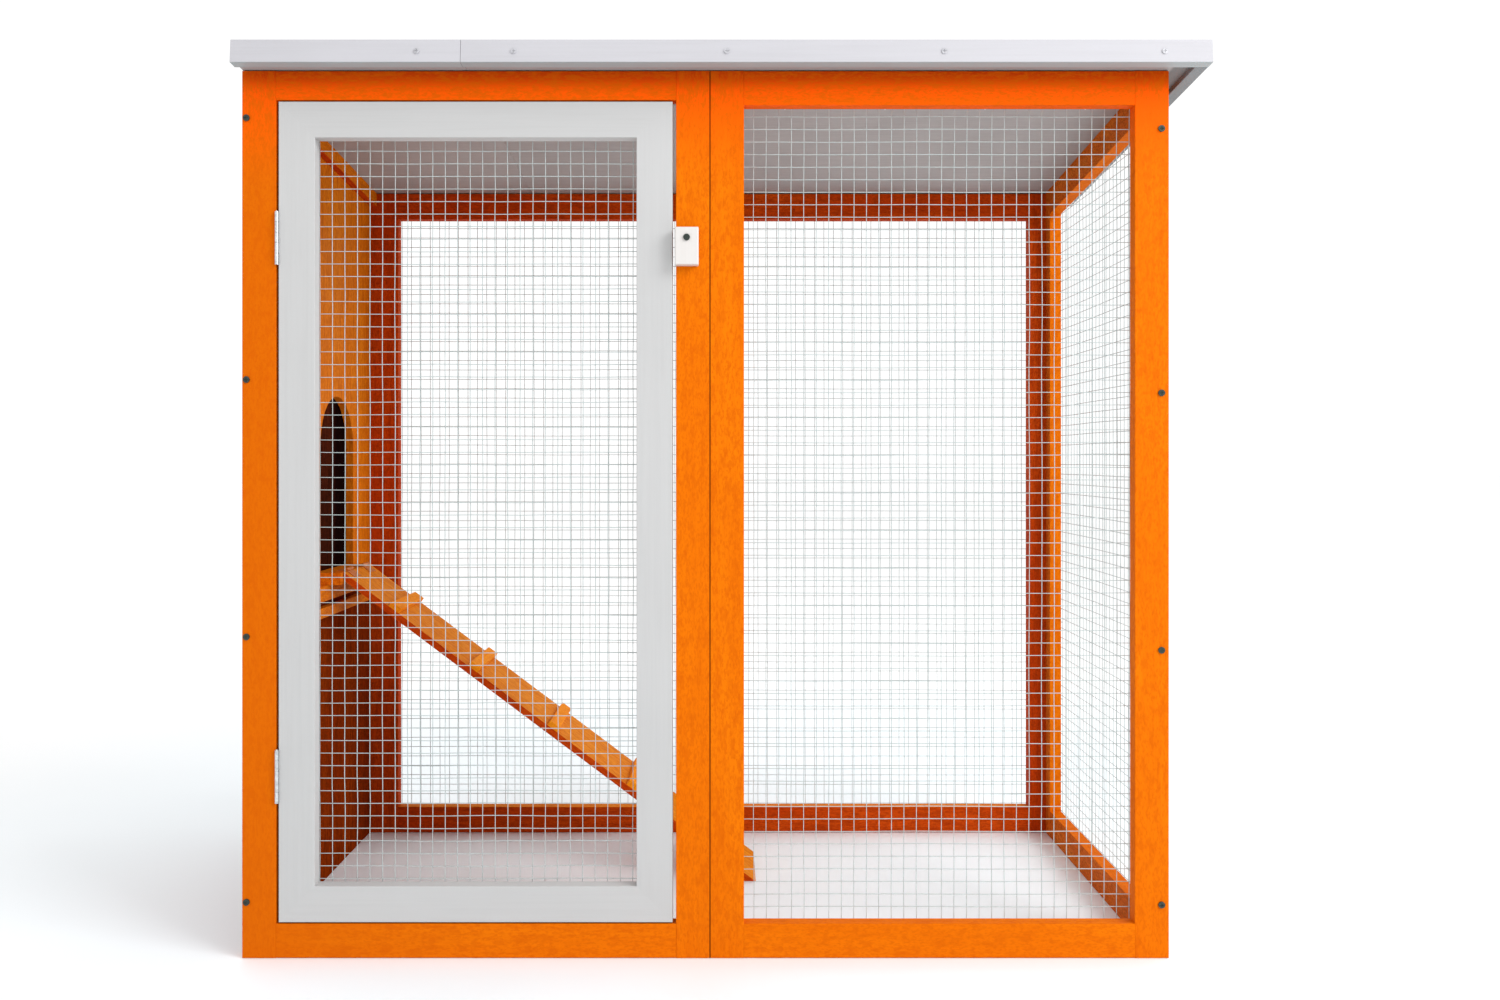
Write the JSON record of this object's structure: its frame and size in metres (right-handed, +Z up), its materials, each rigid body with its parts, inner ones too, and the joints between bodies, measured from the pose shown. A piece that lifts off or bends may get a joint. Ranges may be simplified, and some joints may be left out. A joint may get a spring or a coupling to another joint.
{
  "type": "small animal run with ramp",
  "caption": "Wooden small-animal run: wire-mesh panels on stained laths, hinged mesh door with turn button, cleated ramp to an arched pop hole with shutter, sloping boarded roof.",
  "frame": {"origin": "middle of the footprint of the whole part, on the ground", "axes": "+X along the front from the end wall with the pop hole to the mesh end, +Y from the door side to the back, +Z up"},
  "size_m": [0.9786, 0.4768, 0.9087],
  "materials": {
    "orange_stained_fir": "satin orange stain on planed fir, fine vertical grain",
    "red_brown_stained_fir": "dark red-brown stain on planed fir",
    "dark_stained_board": "very dark stain on thin board",
    "white_painted_lath": "pale grey-white satin paint on wood",
    "white_painted_trim": "pale grey-white satin paint on wood",
    "grey_roof_board": "warm grey primed board",
    "grey_roof_felt": "mineral-chipped bitumen felt",
    "galvanised_wire": "galvanised, dull",
    "staple_steel": "bright wire",
    "zinc_plated_hinge": "bright zinc plate",
    "zinc_plated_screw": "bright zinc plate",
    "painted_screw": "pale grey-white paint"
  },
  "bodies": {
    "run": {"back_left_mesh": "galvanised_wire", "back_left_panel_bottom_rail": "red_brown_stained_fir", "back_left_panel_left_stile": "red_brown_stained_fir", "back_left_panel_right_stile": "red_brown_stained_fir", "back_left_panel_top_rail": "red_brown_stained_fir", "back_right_mesh": "galvanised_wire", "back_right_panel_bottom_rail": "red_brown_stained_fir", "back_right_panel_left_stile": "red_brown_stained_fir", "back_right_panel_right_stile": "red_brown_stained_fir", "back_right_panel_top_rail": "red_brown_stained_fir", "frame_screws": "zinc_plated_screw", "front_door_panel_bottom_rail": "orange_stained_fir", "front_door_panel_left_stile": "orange_stained_fir", "front_door_panel_right_stile": "orange_stained_fir", "front_door_panel_top_rail": "orange_stained_fir", "front_fixed_mesh": "galvanised_wire", "front_fixed_panel_bottom_rail": "orange_stained_fir", "front_fixed_panel_left_stile": "orange_stained_fir", "front_fixed_panel_right_stile": "orange_stained_fir", "front_fixed_panel_top_rail": "orange_stained_fir", "hinge_frame_leaves": "zinc_plated_hinge", "hinge_frame_screws": "zinc_plated_hinge", "hinge_pins": "zinc_plated_hinge", "landing_board": "orange_stained_fir", "ramp_hinge_landing_leaves": "zinc_plated_hinge", "ramp_hinge_pins": "zinc_plated_hinge", "roof_deck_left": "grey_roof_board", "roof_deck_right": "grey_roof_board", "roof_felt": "grey_roof_felt", "run_staples": "staple_steel", "shutter_guides": "dark_stained_board", "side_mesh": "galvanised_wire", "side_panel_back_stile": "orange_stained_fir", "side_panel_bottom_rail": "orange_stained_fir", "side_panel_front_stile": "orange_stained_fir", "side_panel_top_rail": "orange_stained_fir", "trim_back": "white_painted_trim", "trim_front_left": "white_painted_trim", "trim_front_right": "white_painted_trim", "trim_screws": "painted_screw", "trim_side": "white_painted_trim", "turn_button_screw": "zinc_plated_screw", "wall_lower_boards": "red_brown_stained_fir", "wall_rails": "orange_stained_fir", "wall_top_batten": "orange_stained_fir", "wall_upper_boards": "orange_stained_fir"},
    "door": {"door_bottom_rail": "white_painted_lath", "door_latch_stile": "white_painted_lath", "door_top_rail": "white_painted_lath", "door_hinge_stile": "white_painted_lath", "door_mesh": "galvanised_wire", "door_staples": "staple_steel", "hinge_door_leaves": "zinc_plated_hinge", "hinge_door_screws": "zinc_plated_hinge"},
    "turn_button": {"turn_button": "white_painted_lath"},
    "ramp": {"ramp_board": "orange_stained_fir", "ramp_cleats": "orange_stained_fir", "ramp_hinge_ramp_leaves": "zinc_plated_hinge"},
    "shutter": {"shutter": "dark_stained_board", "shutter_knob": "dark_stained_board"}
  },
  "joints": [
    {"name": "door_swing", "type": "hinge", "parent": "run", "child": "door", "pos_m": [-0.4353, -0.20958, 0.45], "axis": [0, 0, -1], "range_deg": [0, 110]},
    {"name": "button_turn", "type": "hinge", "parent": "run", "child": "turn_button", "pos_m": [-0.02555, -0.20798, 0.7185], "axis": [0, 1, 0], "range_deg": [0, 95]},
    {"name": "ramp_lift", "type": "hinge", "parent": "run", "child": "ramp", "pos_m": [-0.4374, 0.05902, 0.3674], "axis": [0, -1, 0], "range_deg": [0, 80]},
    {"name": "shutter_lift", "type": "slide", "parent": "run", "child": "shutter", "axis": [0, 0, 1], "range_m": [0, 0.215]}
  ]
}
